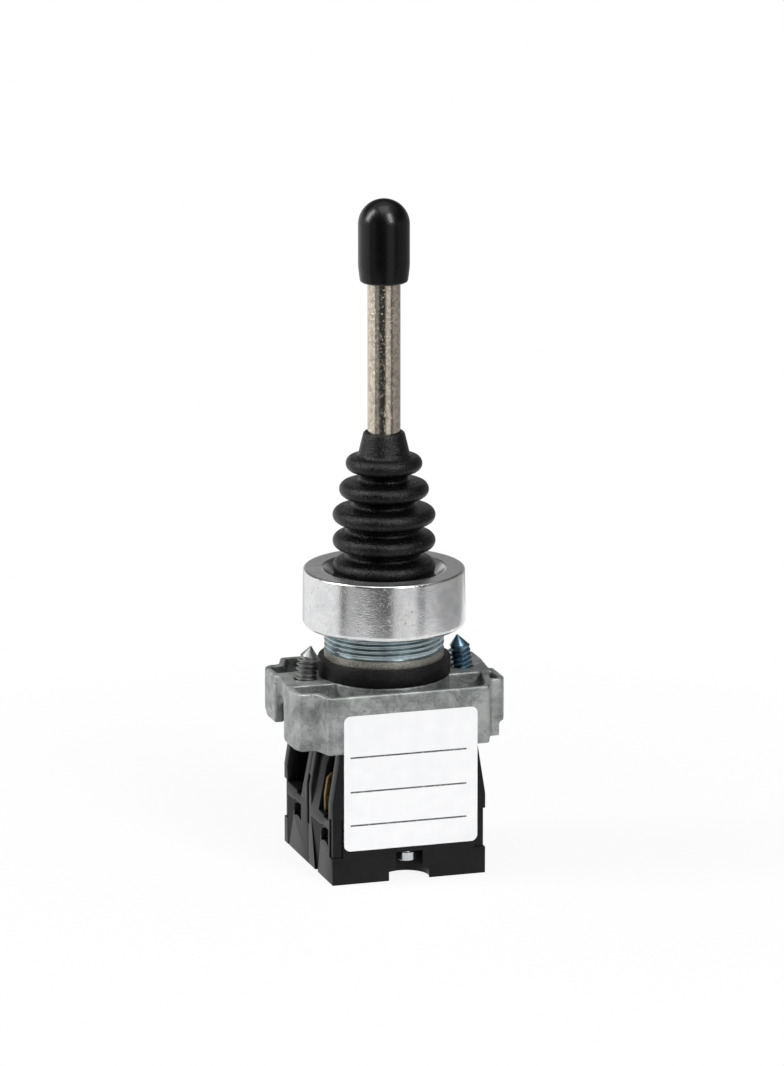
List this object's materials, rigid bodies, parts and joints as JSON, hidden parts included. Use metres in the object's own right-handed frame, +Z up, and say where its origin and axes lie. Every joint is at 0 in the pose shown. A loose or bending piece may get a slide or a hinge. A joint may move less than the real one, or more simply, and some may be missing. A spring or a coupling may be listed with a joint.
{
  "type": "industrial joystick",
  "caption": "Two-direction lever switch for a 22 mm panel hole: knob on a plated rod, bellows boot, chromed bezel, cast fixing collar and stacked contact blocks.",
  "frame": {"origin": "on the lever axis, in the plane of the contact blocks' feet", "axes": "+Z up along the lever; X along the face that carries the label, the lever's hinge axis; -Y is the label side"},
  "size_m": [0.04, 0.0309, 0.1236],
  "materials": {
    "chromed_bezel": "satin chrome over die-cast zinc, slight orange peel",
    "zinc_plated_neck": "blue-tinted zinc plating",
    "cast_zinc": "raw die-cast zinc, mottled",
    "zinc_rocker": "die-cast zinc",
    "screw_steel": "passivated steel",
    "spring_steel": "drawn and ground",
    "zinc_steel": "bright zinc plating",
    "brass": "stamped brass",
    "nickel_rod": "nickel plated, fine scratches",
    "black_knob": "satin moulded plastic",
    "black_moulding": "fine matt moulding",
    "pale_moulding": "natural polyamide",
    "black_rubber": "matt",
    "boot_rubber": "grainy matt",
    "white_label": "smooth label stock"
  },
  "bodies": {
    "root": {"bezel": "chromed_bezel", "neck": "zinc_plated_neck", "sealing_ring": "black_rubber", "collar": "cast_zinc", "clamp_screws": "screw_steel", "pivot_pin": "spring_steel", "detent_plate": "spring_steel", "front_housing": "black_moulding", "rear_housing": "black_moulding", "front_terminals": "brass", "rear_terminals": "brass", "clamp_washers": "zinc_steel", "terminal_screws": "zinc_steel", "block_screws": "zinc_steel", "blank_label": "white_label", "boot": "boot_rubber", "front_return_spring": "spring_steel", "rear_return_spring": "spring_steel"},
    "lever": {"lever_rod": "nickel_rod", "knob": "black_knob", "rocker": "zinc_rocker", "rod_pin": "spring_steel", "detent_pin": "spring_steel", "detent_spring": "spring_steel"},
    "front_plunger": {"front_push_rod": "pale_moulding", "front_carrier": "pale_moulding", "front_bridge": "brass", "front_contact_spring": "spring_steel"},
    "rear_plunger": {"rear_push_rod": "pale_moulding", "rear_carrier": "pale_moulding", "rear_bridge": "brass", "rear_contact_spring": "spring_steel"}
  },
  "joints": [
    {"name": "lever_tilt", "type": "hinge", "parent": "root", "child": "lever", "pos_m": [0, 0, 0.0475], "axis": [1, 0, 0], "range_deg": [-15, 15], "deforming": ["boot"]},
    {"name": "front_push", "type": "slide", "parent": "root", "child": "front_plunger", "axis": [0, 0, 1], "range_m": [-0.00184, 0.00184], "deforming": ["front_return_spring"]},
    {"name": "rear_push", "type": "slide", "parent": "root", "child": "rear_plunger", "axis": [0, 0, 1], "range_m": [-0.00184, 0.00184], "deforming": ["rear_return_spring"]}
  ],
  "couplings": [
    {"joint": "front_push", "follows": "lever_tilt", "m_per_rad": -0.007},
    {"joint": "rear_push", "follows": "lever_tilt", "m_per_rad": 0.007}
  ]
}
